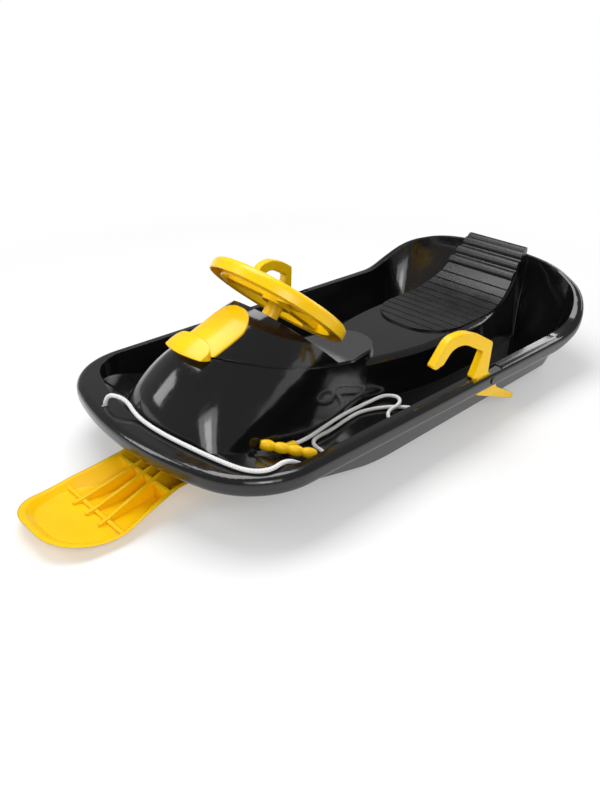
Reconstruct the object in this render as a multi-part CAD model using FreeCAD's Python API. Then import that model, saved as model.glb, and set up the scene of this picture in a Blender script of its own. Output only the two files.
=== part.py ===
"""Steering sled: a moulded tub with a straddle seat, a wheel that turns a ski, brakes and a tow rope.

Millimetres, +Z up, the nose points along -Y and +X is the driver's left. The origin is on the ground
under the middle of the sled.
"""
import FreeCAD
import Part
import math
import os

from FreeCAD import Placement, Rotation, Vector

# Hull: plan of the rim
HALF_WIDTH = 255.0
NOSE_Y = -411.0
TAIL_Y = 571.0
NOSE_RADIUS = 560.0
TAIL_RADIUS = 490.0
FRONT_CORNER = 130.0
REAR_CORNER = 100.0

# Hull: rim section and sheer line
WALL = 3.5
LIP_DROP = 32.0
ROLL_RADIUS = 12.0
SIDE_FLANGE = 24.0
NOSE_FLANGE = 46.0
TAIL_FLANGE = 24.0
NOSE_HEIGHT = 119.0
WAIST_HEIGHT = 98.0
TAIL_HEIGHT = 177.0
WAIST_Y = 434.0
RISE_TOP_Y = 537.0
TAIL_TILT = 3.0
SHEER_DIP_RADIUS = 140.0
SHEER_TOP_RADIUS = 50.0

# Hull: wells
FLOOR_HALF_WIDTH = 200.0
FLOOR_TAIL_Y = 496.0
FLOOR_Z = 16.0
WELL_MIDDLE_Z = 45.0
WELL_FOOT_DRAFT = 5.0
WELL_NOSE_DRAFT = 26.0
WELL_NOSE_STEP = 8.0
WELL_TAIL_STEP = 4.0
WELL_TAIL_BULGE = 9.0
WELL_TOP_FLARE = 2.0
RAMP_START_Y = -81.0
RAMP_ANGLE = 18.3
RAMP_RADIUS = 300.0
GRIP_RIB_COUNT = 4
GRIP_RIB_FRONT_Y = -322.0
GRIP_RIB_PITCH = 52.0
GRIP_RIB_HEIGHT = 2.0
GRIP_RIB_WIDTH = 6.0
GRIP_RIB_LENGTH = 140.0
GRIP_RIB_X = 128.0
ROPE_HOLE_X = -88.0
ROPE_HOLE_Y = -383.0
ROPE_HOLE_DIAMETER = 10.5

# Hull: runners
RUNNER_X = 178.0
RUNNER_WIDTH = 18.0
RUNNER_FRONT_Y = -59.0
RUNNER_REAR_Y = 484.0
RUNNER_NOSE = 45.0
RUNNER_HEEL = 25.0

# Seat ridge and seat pad
SEAT_FRONT_Y = 223.0
SEAT_Z = 92.0
SEAT_BEND_Y = 376.0
SEAT_BEND_RADIUS = 160.0
BACK_ANGLE = 42.0
BACK_LENGTH = 76.0
PAD_THICKNESS = 7.0
PAD_HALF_WIDTH = 92.0
PAD_TOP_HALF_WIDTH = 60.0
PAD_TAPER_LAG = 40.0
PAD_NOSE_ROUND = 0.85
PAD_WAIST_RADIUS = 120.0
PAD_TOP_CORNER = 4.0
SLAT_COUNT = 12
SLAT_GROOVE_WIDTH = 3.0
SLAT_GROOVE_DEPTH = 2.8
BACK_WAVE_COUNT = 3
BACK_WAVE_DEPTH = 7.0
RIDGE_SHOULDER = 10.0
RIDGE_BASE_FLARE = 16.0
RIDGE_CROWN = 3.0
RIDGE_BULGE = 0.55
RIDGE_TUCK = 0.2
RIDGE_NECK = ((11.0, 0.48), (51.0, 0.60), (121.0, 0.80), (213.0, 0.97))
RIDGE_FULL_Y = 291.0
RIDGE_BACK_Y = (421.0, 461.0, 496.0)
RIDGE_TAIL_LAP = 6.0
PAD_CLEARANCE = 0.3
PAD_ROLL_RADIUS = 9.0
SEAT_SKIN = 3.0
SEAT_SCREW_X = 55.0
SEAT_SCREW_Y = (253.0, 357.0)

# Console, cowl and windscreen trim
# Stations along the console: place, half width at its foot, height of its crown, squareness of its section
CONSOLE_STATIONS = (
    (-368.0, 102.0, 108.0, 1.8),
    (-359.0, 126.0, 134.0, 1.8),
    (-343.0, 141.0, 160.0, 1.85),
    (-320.0, 145.0, 183.0, 1.9),
    (-291.0, 141.0, 204.0, 1.95),
    (-255.0, 133.0, 218.0, 2.05),
    (-214.0, 123.0, 232.0, 2.2),
    (-169.0, 114.0, 247.0, 2.5),
    (-99.0, 102.0, 247.0, 2.8),
    (-29.0, 85.0, 213.0, 3.0),
    (41.0, 70.0, 163.0, 3.0),
    (91.0, 68.0, 150.0, 3.0),
    (141.0, 66.0, 135.0, 3.0),
)
CONSOLE_SPAN = 7
SEAM_FRONT_Z = 218.5
SEAM_FRONT_Y = -299.0
SEAM_REAR_Y = -9.0
SEAM_REAR_Z = 120.5
PLATEAU_Z = 110.0
SEAM_BEND_RADIUS = 40.0
SEAM_GROOVE_WIDTH = 3.0
SEAM_GROOVE_DEPTH = 2.0
DECK_REAR_Y = 117.0
DECK_RADIUS = 60.0
DECK_FOOT_Z = 86.0
COWL_WALL = 3.0
TRIM_THICKNESS = 3.0
TRIM_FRONT_Y = -294.0
TRIM_REAR_Y = -174.0
TRIM_HALF_WIDTH = 42.0
TRIM_TOP_CORNER = 36.0
TRIM_FOOT_CORNER = 14.0
TRIM_LIP = 15.0
TRIM_LIP_FRONT_Y = -309.0
TRIM_LIP_REAR_Y = -263.0
TRIM_LIP_HALF_WIDTH = 44.0
TRIM_LIP_LAP = 6.0
COWL_SCREWS = ((62.0, -129.0), (32.0, -244.0))

# Steering
STEER_RAKE = 42.0
WHEEL_Y = -94.0
WHEEL_Z = 238.0
WHEEL_RADIUS = 123.0
WHEEL_RIM_WIDTH = 24.0
WHEEL_RIM_DEPTH = 22.0
WHEEL_SHELL = 3.0
WHEEL_RIM_ROUND = 10.0
HUB_RADIUS = 26.0
DASH_DROP = 38.0
SHAFT_DIAMETER = 10.0
SHAFT_FLAT = 1.2
RUNNING_CLEARANCE = 0.05
END_PLAY = 0.3
BUSH_DIAMETER = 18.0
BUSH_FLANGE_DIAMETER = 30.0
BUSH_FLANGE_THICKNESS = 2.5
BUSH_LENGTH = 16.0
COLUMN_DIAMETER = 26.0
COLUMN_FOOT_Z = 82.0
COLUMN_PLATE_LENGTH = 74.0
COLUMN_PLATE_WIDTH = 60.0
COLUMN_PLATE_THICKNESS = 4.0
SHAFT_FOOT_Z = 22.0
NUT_ACROSS = 16.0
NUT_HEIGHT = 8.0
WASHER_DIAMETER = 21.0
WASHER_THICKNESS = 1.6
CAP_DIAMETER = 30.0
CAP_THICKNESS = 3.0
CAP_LIP = 3.0
CAP_PROUD = 1.5
NUT_ROOM = 2.0
HUB_BOSS_RADIUS = 14.0
HUB_RIB_COUNT = 8
SPOKE_TURNS = (0.0, 105.0, -105.0)
SPOKE_WIDTH = 30.0
SPOKE_DEPTH = 13.0
SPOKE_SINK = 4.0

# Ski
SKI_TIP_HALF_WIDTH = 104.0
SKI_WAIST_HALF_WIDTH = 31.0
SKI_WAIST_Y = -365.0
SKI_FLARE = 1.2
SKI_TIP_Y = -536.6
SKI_REAR_Y = -229.0
SKI_SHOULDER_Y = -490.0
SKI_TIP_SLOPE = 0.2
SKI_CREST_Y = -350.0
SKI_BASE = 5.0
SKI_WALL = 4.5
SKI_WALL_REAR = 38.5
SKI_WALL_FRONT = 12.0
SKI_RIB = 6.0
SKI_RIB_SPREAD = 36.0
SKI_RIB_REAR_SPREAD = 12.0
SKI_RIB_FRONT = 6.0
SKI_BOSS_DIAMETER = 34.0
SKI_BOLT_DIAMETER = 6.0
SKI_BOLT_HEAD = 10.0
SKI_BOLT_HEAD_HEIGHT = 5.0
SKI_BOLT_DROP = 22.0
SKI_BOSS_FLAT = 4.0
SKI_SPOT_RADIUS = 8.0
SKI_NUT_HEIGHT = 5.0
SKI_TIP_ROUND = 0.6
SKI_TIP_RADIUS = 300.0
SKI_CREST_RADIUS = 60.0
SKI_FAR = 150.0
SKI_HEEL_CORNER = 12.0
SKI_WAIST_BEND = 80.0
SKI_RIB_RISE = 3.0
SKI_CROSS_DROP = 2.0
SKI_CROSS_RIBS = (-471.0, -382.0)

# Hand brakes
BRAKE_X = 243.0
BRAKE_THICKNESS = 11.0
BRAKE_PIVOT_Y = 171.0
BRAKE_PIVOT_DROP = 16.0
BRAKE_PIN_DIAMETER = 8.0
BRAKE_PIN_HEAD = 13.0
BRAKE_PIN_HEAD_HEIGHT = 2.0
BRAKE_GRIP_THICKNESS = 16.0
BRAKE_GRIP_TURN = 10.0
BRAKE_GRIP_MIDDLE = -35.0
BRAKE_EDGE = 3.0
# Corners of the grip: place behind the pivot, height over the rim, rounding
BRAKE_GRIP_OUTLINE = (
    (-16.0, 2.0, 4.0),
    (-13.0, 63.0, 5.0),
    (-43.0, 82.0, 60.0),
    (-78.0, 97.0, 60.0),
    (-116.0, 95.0, 30.0),
    (-147.0, 51.0, 4.0),
    (-138.0, 45.0, 4.0),
    (-122.0, 50.0, 4.0),
    (-104.0, 73.0, 24.0),
    (-78.0, 75.0, 40.0),
    (-34.0, 50.0, 5.0),
    (-53.0, 2.0, 4.0),
)
# Corners of the neck, hub and claw: place behind the pivot, height over the pivot, rounding
BRAKE_CLAW_OUTLINE = (
    (-45.0, 30.0, 2.0),
    (-22.0, 30.0, 2.0),
    (2.0, 9.0, 8.0),
    (16.0, -2.0, 8.0),
    (22.0, -22.0, 14.0),
    (83.0, -57.0, 2.0),
    (83.0, -69.0, 2.0),
    (-36.0, -17.0, 6.0),
)
BRAKE_PIN_ROOT_X = 230.0
BRAKE_SLOT_FRONT_Y = 118.0
BRAKE_SLOT_REAR_Y = 202.0
BRAKE_SLOT_WIDTH = 17.0

# Tow rope, its stopper knot and the finger grip
ROPE_DIAMETER = 7.0
ROPE_BEND_SHARE = 0.45
ROPE_TAIL_Z = 97.5
ROPE_ROUTE = (
    (-88.0, -383.0, 138.6),
    (-51.0, -365.5, 138.6),
    (-18.0, -370.0, 123.1),
    (40.0, -371.0, 122.4),
    (104.0, -363.0, 122.2),
    (164.0, -353.0, 122.0),
    (207.0, -341.0, 121.6),
    (228.0, -318.0, 122.1),
    (222.0, -284.0, 120.4),
    (214.0, -253.0, 97.6),
    (210.0, -222.0, 70.6),
    (203.0, -186.0, 55.6),
    (170.0, -151.0, 46.1),
    (134.0, -147.0, 43.6),
    (112.0, -117.0, 33.6),
    (101.0, -66.0, 22.2),
    (91.0, -14.0, 20.2),
    (92.0, 24.0, 20.2),
    (116.0, 70.0, 20.2),
    (154.0, 100.0, 20.2),
    (184.0, 76.0, 20.2),
    (174.0, 40.0, 20.2),
    (145.0, 31.0, 20.2),
    (124.0, 50.0, 21.1),
    (131.0, 77.0, 28.1),
    (111.0, 97.0, 27.6),
    (84.0, 88.0, 23.6),
    (81.0, 48.0, 22.6),
    (88.0, -20.0, 30.6),
    (100.0, -70.0, 37.2),
    (113.0, -122.0, 42.6),
    (127.0, -164.0, 53.6),
    (137.0, -196.0, 65.1),
)
KNOT_DIAMETER = 15.0
KNOT_HEIGHT = 12.0
KNOT_ROUND = 5.4
GRIP_CENTRE = (153.5, -216.0, 75.0)
GRIP_END = (180.0, -184.0, 64.0)
GRIP_HALF_LENGTH = 44.0
GRIP_LOBE_RADIUS = 9.0
GRIP_WAIST_RADIUS = 6.0
GRIP_LOBES = 4
GRIP_STEM_RADIUS = 6.5
GRIP_STEM_LENGTH = 34.0
GRIP_ROPE_DEPTH = 10.0

# Fasteners
SCREW_DIAMETER = 4.0
SCREW_HEAD_DIAMETER = 8.0
SCREW_HEAD_HEIGHT = 2.5
SCREW_BOSS_DIAMETER = 12.0
SCREW_GRIP = 12.0
SCREW_BITE = 4.0
SCREW_POST = 150.0
SCREW_TIP = 6.0

# Sizes of the shapes that the pieces are cut from, all well past the sled
REACH = 700.0
HIGH = 500.0
OVERRUN = 60.0
BASE_Z = -20.0

AXIS = Vector(0, math.sin(math.radians(STEER_RAKE)), math.cos(math.radians(STEER_RAKE)))
WHEEL_CENTRE = Vector(0, WHEEL_Y, WHEEL_Z)


def rounded_edges(points, radii):
    """Straight runs through the points, with a tangent arc of the given radius at each inner point."""
    edges = []
    start = points[0]
    for index in range(1, len(points) - 1):
        corner = points[index]
        back = (points[index - 1] - corner).normalize()
        ahead = (points[index + 1] - corner).normalize()
        half_turn = (math.pi - back.getAngle(ahead)) / 2
        radius = radii[index - 1]
        trim = radius * math.tan(half_turn)
        first = corner + back * trim
        last = corner + ahead * trim
        inward = (back + ahead).normalize()
        middle = corner + inward * (radius / math.cos(half_turn) - radius)
        if (first - start).Length > 1e-6:
            edges.append(Part.LineSegment(start, first).toShape())
        edges.append(Part.Arc(first, middle, last).toShape())
        start = last
    edges.append(Part.LineSegment(start, points[-1]).toShape())
    return edges


def rounded_polygon(points, radii):
    """Closed outline through the points, each corner rounded with its own radius."""
    middle = (points[-1] + points[0]) * 0.5
    return Part.Wire(rounded_edges([middle] + points + [middle], radii))


def side_prism(wire, half):
    """A closed outline in the YZ plane, made solid from -half to +half across the sled."""
    face = Part.Face(wire)
    face.translate(Vector(-half, 0, 0))
    return face.extrude(Vector(2 * half, 0, 0))


def side_region(edges, z_far):
    """Everything between an open profile in the YZ plane and the level z_far."""
    first = edges[0].Vertexes[0].Point
    last = edges[-1].Vertexes[-1].Point
    far_last = Vector(0, last.y, z_far)
    far_first = Vector(0, first.y, z_far)
    loop = edges + [
        Part.LineSegment(last, far_last).toShape(),
        Part.LineSegment(far_last, far_first).toShape(),
        Part.LineSegment(far_first, first).toShape(),
    ]
    return side_prism(Part.Wire(loop), REACH)


def yz(y, z):
    return Vector(0, y, z)


def plan_wire(z, side, nose, tail):
    """The rim's plan outline at height z, moved inwards at the sides, the nose and the tail."""
    half = HALF_WIDTH - side
    nose_radius = NOSE_RADIUS - nose
    tail_radius = TAIL_RADIUS - tail
    front = FRONT_CORNER - nose
    rear = REAR_CORNER - side
    nose_centre = Vector(0, NOSE_Y + nose + nose_radius, z)
    tail_centre = Vector(0, TAIL_Y - tail - tail_radius, z)
    front_y = nose_centre.y - math.sqrt((nose_radius - front) ** 2 - (half - front) ** 2)
    rear_y = tail_centre.y + math.sqrt((tail_radius - rear) ** 2 - (half - rear) ** 2)

    def corner(sign, big_centre, big_radius, radius, y):
        centre = Vector(sign * (half - radius), y, z)
        outward = (centre - big_centre).normalize()
        on_big = big_centre + outward * big_radius
        on_side = Vector(sign * half, y, z)
        middle = centre + (outward + Vector(sign, 0, 0)).normalize() * radius
        return on_big, middle, on_side

    front_left = corner(1, nose_centre, nose_radius, front, front_y)
    front_right = corner(-1, nose_centre, nose_radius, front, front_y)
    rear_left = corner(1, tail_centre, tail_radius, rear, rear_y)
    rear_right = corner(-1, tail_centre, tail_radius, rear, rear_y)
    edges = [
        Part.Arc(front_right[0], Vector(0, NOSE_Y + nose, z), front_left[0]),
        Part.Arc(*front_left),
        Part.LineSegment(front_left[2], rear_left[2]),
        Part.Arc(rear_left[2], rear_left[1], rear_left[0]),
        Part.Arc(rear_left[0], Vector(0, TAIL_Y - tail, z), rear_right[0]),
        Part.Arc(*rear_right),
        Part.LineSegment(rear_right[2], front_right[2]),
        Part.Arc(front_right[2], front_right[1], front_right[0]),
    ]
    return Part.Wire([edge.toShape() for edge in edges])


def plan_prism(inset):
    """The rim's plan outline, moved inwards all round, as a tall prism."""
    return Part.Face(plan_wire(-HIGH / 2, inset, inset, inset)).extrude(Vector(0, 0, HIGH))


def sheer_edges(drop):
    """The rim's height along the sled, lowered by drop."""
    slope = (NOSE_HEIGHT - WAIST_HEIGHT) / (WAIST_Y - NOSE_Y)
    points = [
        yz(NOSE_Y - OVERRUN, NOSE_HEIGHT + slope * OVERRUN - drop),
        yz(WAIST_Y, WAIST_HEIGHT - drop),
        yz(RISE_TOP_Y, TAIL_HEIGHT - TAIL_TILT - drop),
        yz(TAIL_Y + OVERRUN, TAIL_HEIGHT + TAIL_TILT - drop),
    ]
    return rounded_edges(points, [SHEER_DIP_RADIUS + drop, SHEER_TOP_RADIUS - drop])


def sheer_height(y):
    """The rim's height ahead of the rise at the tail."""
    return NOSE_HEIGHT - (NOSE_HEIGHT - WAIST_HEIGHT) * (y - NOSE_Y) / (WAIST_Y - NOSE_Y)


def floor_edges(drop):
    """The wells' floor: level under the seat, then a ramp up to the nose."""
    rise = math.tan(math.radians(RAMP_ANGLE))
    front = NOSE_Y - OVERRUN
    points = [
        yz(TAIL_Y + OVERRUN, FLOOR_Z - drop),
        yz(RAMP_START_Y, FLOOR_Z - drop),
        yz(front, FLOOR_Z + (RAMP_START_Y - front) * rise - drop),
    ]
    return rounded_edges(points, [RAMP_RADIUS])


def floor_height(y):
    """Height of the wells' floor, away from the bend at the ramp's start."""
    return FLOOR_Z + max(0.0, RAMP_START_Y - y) * math.tan(math.radians(RAMP_ANGLE))


def well_loft(thickness):
    """The drafted inside of the tub, or its outside when a thickness is given."""
    floor_side = HALF_WIDTH - FLOOR_HALF_WIDTH
    floor_tail = TAIL_Y - FLOOR_TAIL_Y
    middle_side = (floor_side + SIDE_FLANGE) / 2
    middle_tail = (floor_tail + TAIL_FLANGE) / 2 + WELL_TAIL_STEP
    draft = WELL_FOOT_DRAFT
    flare = WELL_TOP_FLARE
    levels = [
        (BASE_Z, floor_side + draft, NOSE_FLANGE + WELL_NOSE_DRAFT, floor_tail + draft),
        (WELL_MIDDLE_Z, middle_side, NOSE_FLANGE + WELL_NOSE_STEP, middle_tail),
        (WAIST_HEIGHT, SIDE_FLANGE, NOSE_FLANGE, TAIL_FLANGE + WELL_TAIL_BULGE),
        (TAIL_HEIGHT + OVERRUN, SIDE_FLANGE - flare, NOSE_FLANGE - flare, TAIL_FLANGE - flare),
    ]
    wires = [plan_wire(z, s - thickness, n - thickness, t - thickness) for z, s, n, t in levels]
    return Part.makeLoft(wires, True, False)


def egg_wire(y, half, top, squareness, grow):
    """Upright section of the console: a superellipse dome over a level base below the ground."""
    base = BASE_Z
    span = CONSOLE_SPAN
    points = []
    for step in range(-span, span + 1):
        angle = math.pi / 2 * (1 - step / span)
        across = abs(math.cos(angle)) ** (2 / squareness) * math.copysign(1, step) if step else 0.0
        up = abs(math.sin(angle)) ** (2 / squareness) if abs(step) < span else 0.0
        points.append(Vector(across * (half + grow), y, base + up * (top + grow - base)))
    dome = Part.BSplineCurve()
    dome.interpolate(points)
    foot = Part.LineSegment(points[-1], points[0])
    return Part.Wire([dome.toShape(), foot.toShape()])


def console_loft(grow):
    """The whole console dome, from the nose flange back to the seat ridge, grown all over by grow."""
    wires = [egg_wire(*station, grow) for station in CONSOLE_STATIONS]
    return Part.makeLoft(wires, True, False)


def seam_edges(drop):
    """Profile of the seam under the cowl, then the level plateau behind it."""
    slope = math.tan(SEAM_TILT)
    plateau_y = SEAM_REAR_Y + (SEAM_REAR_Z - PLATEAU_Z) / slope
    front = NOSE_Y - OVERRUN
    points = [
        yz(front, SEAM_REAR_Z + slope * (SEAM_REAR_Y - front) - drop),
        yz(plateau_y, PLATEAU_Z - drop),
        yz(TAIL_Y, PLATEAU_Z - drop),
    ]
    return rounded_edges(points, [SEAM_BEND_RADIUS])


def behind_deck(inset):
    """Everything over the seat ridge's top that lies outside the rounded rear end of the console's deck."""
    centre_y = DECK_REAR_Y - DECK_RADIUS
    corner = Vector(-HALF_WIDTH, centre_y, DECK_FOOT_Z)
    block = Part.makeBox(2 * HALF_WIDTH, REACH, HIGH, corner)
    return block.cut(Part.makeCylinder(DECK_RADIUS - inset, HIGH, Vector(0, centre_y, DECK_FOOT_Z)))


def console_body(inset, drop):
    """The console up to the seam, with its skin moved inwards by inset and its top lowered by drop."""
    body = console_loft(-inset).common(side_region(seam_edges(drop), -HIGH / 2))
    return body.cut(behind_deck(inset))


SEAM_TILT = math.atan((SEAM_FRONT_Z - SEAM_REAR_Z) / (SEAM_REAR_Y - SEAM_FRONT_Y))
DECK_NORMAL = Vector(0, math.sin(SEAM_TILT), math.cos(SEAM_TILT))
DECK_REAR = Vector(0, SEAM_REAR_Y, SEAM_REAR_Z)


def on_deck(x, y):
    """Point of the deck under the cowl."""
    return Vector(x, y, SEAM_REAR_Z + (SEAM_REAR_Y - y) * math.tan(SEAM_TILT))


def steered(shape):
    """Moves a shape from the steering axis's own frame, wheel centre at the origin, into the sled."""
    shape.Placement = Placement(WHEEL_CENTRE, Rotation(Vector(1, 0, 0), -STEER_RAKE)) * shape.Placement
    return shape


def axis_length(z):
    """Distance along the steering axis from the wheel centre to the height z."""
    return (z - WHEEL_Z) / AXIS.z


def cylinder_z(radius, low, high):
    return Part.makeCylinder(radius, high - low, Vector(0, 0, low))


def half_space_below_dash(depth):
    """Everything under the dash face, which is square to the steering axis, lowered by depth."""
    box = Part.makeBox(2 * REACH, 2 * REACH, REACH, Vector(-REACH, -REACH, -REACH - DASH_DROP - depth))
    return steered(box)


def ridge_wire(y, half, top, grow):
    """Upright section of the seat ridge, with sloping sides and rounded shoulders."""
    base = BASE_Z
    reach = half + grow
    flare = reach + RIDGE_BASE_FLARE
    crown = top + grow
    shoulder = RIDGE_SHOULDER
    points = [
        Vector(flare, y, base),
        Vector(reach, y, crown - shoulder),
        Vector(reach - shoulder, y, crown),
        Vector(shoulder - reach, y, crown),
        Vector(-reach, y, crown - shoulder),
        Vector(-flare, y, base),
    ]
    curve = [Part.LineSegment(points[0], points[1])]
    tangent = (points[1] - points[0]).normalize()
    bulge = points[1] + tangent * (shoulder * RIDGE_BULGE) - Vector(shoulder * RIDGE_TUCK, 0, 0)
    curve.append(Part.Arc(points[1], bulge, points[2]))
    curve.append(Part.LineSegment(points[2], points[3]))
    curve.append(Part.Arc(points[3], Vector(-bulge.x, y, bulge.z), points[4]))
    curve.append(Part.LineSegment(points[4], points[5]))
    curve.append(Part.LineSegment(points[5], points[0]))
    return Part.Wire([part.toShape() for part in curve])


def seat_height(y):
    """Height of the seat's bearing surface along the sled."""
    angle = math.radians(BACK_ANGLE)
    bend_end = SEAT_BEND_Y + SEAT_BEND_RADIUS * math.sin(angle)
    if y <= SEAT_BEND_Y:
        return SEAT_Z
    if y <= bend_end:
        return SEAT_Z + SEAT_BEND_RADIUS - math.sqrt(SEAT_BEND_RADIUS ** 2 - (y - SEAT_BEND_Y) ** 2)
    return SEAT_Z + SEAT_BEND_RADIUS * (1 - math.cos(angle)) + (y - bend_end) * math.tan(angle)


def ridge_loft(grow):
    """The seat ridge from under the console's plateau up the backrest."""
    wide = PAD_HALF_WIDTH + RIDGE_SHOULDER
    crown = RIDGE_CROWN
    tail = TAIL_Y - TAIL_FLANGE + RIDGE_TAIL_LAP
    stations = [(y, wide * share, SEAT_Z + crown) for y, share in RIDGE_NECK]
    stations.append((RIDGE_FULL_Y, wide, SEAT_Z + crown))
    stations.append((SEAT_BEND_Y, wide, SEAT_Z + crown))
    for y in RIDGE_BACK_Y + (tail,):
        share = (y - SEAT_BEND_Y) / (tail - SEAT_BEND_Y)
        half = wide + (PAD_TOP_HALF_WIDTH + RIDGE_SHOULDER - wide) * share
        stations.append((y, half, seat_height(y) + crown))
    return Part.makeLoft([ridge_wire(y, half, top, grow) for y, half, top in stations], True, False)


def seat_edges(lift):
    """Profile of the seat surface, raised square to itself: level seat, bend, then the backrest."""
    angle = math.radians(BACK_ANGLE)
    radius = SEAT_BEND_RADIUS - lift
    centre = yz(SEAT_BEND_Y, SEAT_Z + SEAT_BEND_RADIUS)
    bend_end = centre + yz(math.sin(angle), -math.cos(angle)) * radius
    middle = centre + yz(math.sin(angle / 2), -math.cos(angle / 2)) * radius
    top = bend_end + yz(math.cos(angle), math.sin(angle)) * BACK_LENGTH
    front = yz(SEAT_FRONT_Y - OVERRUN / 3, SEAT_Z + lift)
    return [
        Part.LineSegment(front, yz(SEAT_BEND_Y, SEAT_Z + lift)).toShape(),
        Part.Arc(yz(SEAT_BEND_Y, SEAT_Z + lift), middle, bend_end).toShape(),
        Part.LineSegment(bend_end, top).toShape(),
    ]


def seat_plan(grow):
    """The seat pad's outline from above, as a tall prism."""
    top_y = TAIL_Y + OVERRUN / 3 + grow
    bend_y = SEAT_BEND_Y + PAD_TAPER_LAG
    front_y = SEAT_FRONT_Y - grow
    wide = PAD_HALF_WIDTH + grow
    narrow = PAD_TOP_HALF_WIDTH + grow
    points = [
        Vector(wide, front_y, BASE_Z),
        Vector(wide, bend_y, BASE_Z),
        Vector(narrow, top_y, BASE_Z),
        Vector(-narrow, top_y, BASE_Z),
        Vector(-wide, bend_y, BASE_Z),
        Vector(-wide, front_y, BASE_Z),
    ]
    nose = wide * PAD_NOSE_ROUND
    waist = PAD_WAIST_RADIUS
    top = PAD_TOP_CORNER
    radii = [nose, waist, top, top, waist, nose]
    return Part.Face(rounded_polygon(points, radii)).extrude(Vector(0, 0, HIGH))


def mirrored(shape):
    return shape.mirror(Vector(0, 0, 0), Vector(1, 0, 0))


def brake_pivot():
    return Vector(BRAKE_X, BRAKE_PIVOT_Y, sheer_height(BRAKE_PIVOT_Y) - BRAKE_PIVOT_DROP)


def rope_hole():
    return Vector(ROPE_HOLE_X, ROPE_HOLE_Y, sheer_height(ROPE_HOLE_Y))


def tail_flange_height():
    """Highest level of the rim under the backrest's hook."""
    return TAIL_HEIGHT + TAIL_TILT / 3


def screw(point, direction, grip):
    """A pan-head screw: the head's underside at the point, the shank running along the direction."""
    shank = Part.makeCylinder(SCREW_DIAMETER / 2, grip, point, direction)
    head = Part.makeCylinder(SCREW_HEAD_DIAMETER / 2, SCREW_HEAD_HEIGHT, point, direction * -1)
    return head.fuse(shank).removeSplitter()


def rim():
    """The flange with its rolled edge and hanging lip."""
    outer = plan_prism(0).common(side_region(sheer_edges(0), -HIGH / 2))
    outer = outer.cut(side_region(sheer_edges(LIP_DROP), -HIGH / 2))
    outer = roll_edge(outer, ROLL_RADIUS, 0)
    inner = plan_prism(WALL).common(side_region(sheer_edges(WALL), -HIGH / 2))
    inner = roll_edge(inner, ROLL_RADIUS - WALL, WALL)
    return outer.cut(inner)


def roll_edge(band, radius, drop):
    """Rounds the top outer edge of the rim's band."""
    edges = []
    for edge in band.Edges:
        middle = edge.valueAt((edge.FirstParameter + edge.LastParameter) / 2)
        box = edge.BoundBox
        upright = box.ZLength > LIP_DROP / 2 and box.YLength < 1
        if middle.z > WAIST_HEIGHT - LIP_DROP / 4 - drop and not upright:
            edges.append(edge)
    return band.makeFillet(radius, edges)


def runner(sign):
    """A ground runner under one well, lifted at both ends."""
    lift = FLOOR_Z - WALL / 2
    points = [
        yz(RUNNER_FRONT_Y - RUNNER_NOSE, lift),
        yz(RUNNER_FRONT_Y, 0),
        yz(RUNNER_REAR_Y - RUNNER_HEEL, 0),
        yz(RUNNER_REAR_Y, lift),
    ]
    rail = side_prism(Part.makePolygon(points + points[:1]), RUNNER_WIDTH / 2)
    rail.translate(Vector(sign * RUNNER_X, 0, 0))
    return rail


def grip_ribs(sign):
    """Low ribs across the ramp of one well."""
    ribs = []
    for index in range(GRIP_RIB_COUNT):
        y = GRIP_RIB_FRONT_Y + index * GRIP_RIB_PITCH
        depth = WALL / 2
        corner = Vector(-GRIP_RIB_LENGTH / 2, 0, -depth)
        box = Part.makeBox(GRIP_RIB_LENGTH, GRIP_RIB_WIDTH, GRIP_RIB_HEIGHT + depth, corner)
        place = Vector(sign * GRIP_RIB_X, y, floor_height(y))
        box.Placement = Placement(place, Rotation(Vector(1, 0, 0), -RAMP_ANGLE))
        ribs.append(box)
    return ribs


def deck_crossing():
    """Where the steering axis passes through the deck's top."""
    drop = (DECK_REAR - WHEEL_CENTRE).dot(DECK_NORMAL) / AXIS.dot(DECK_NORMAL)
    return WHEEL_CENTRE + AXIS * drop


def seat_screw_points():
    return [Vector(x, y, SEAT_Z) for y in SEAT_SCREW_Y for x in (-SEAT_SCREW_X, SEAT_SCREW_X)]


def cowl_screw_points():
    return [on_deck(sign * x, y) for x, y in COWL_SCREWS for sign in (-1, 1)]


def column_screw_points():
    """Screw places at the corners of the column's plate, on the deck's top."""
    downhill = Vector(0, math.cos(SEAM_TILT), -math.sin(SEAM_TILT))
    reach_x = COLUMN_PLATE_LENGTH / 2 - SCREW_HEAD_DIAMETER
    reach_y = COLUMN_PLATE_WIDTH / 2 - SCREW_HEAD_DIAMETER
    centre = deck_crossing()
    return [centre + Vector(x * reach_x, 0, 0) + downhill * (y * reach_y) for x in (-1, 1) for y in (-1, 1)]


def screw_bores(points, direction, back, ahead):
    """Clearance holes for screws, from back behind each point to ahead of it."""
    bore = SCREW_DIAMETER / 2 + RUNNING_CLEARANCE
    return [Part.makeCylinder(bore, back + ahead, point - direction * back, direction) for point in points]


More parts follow.
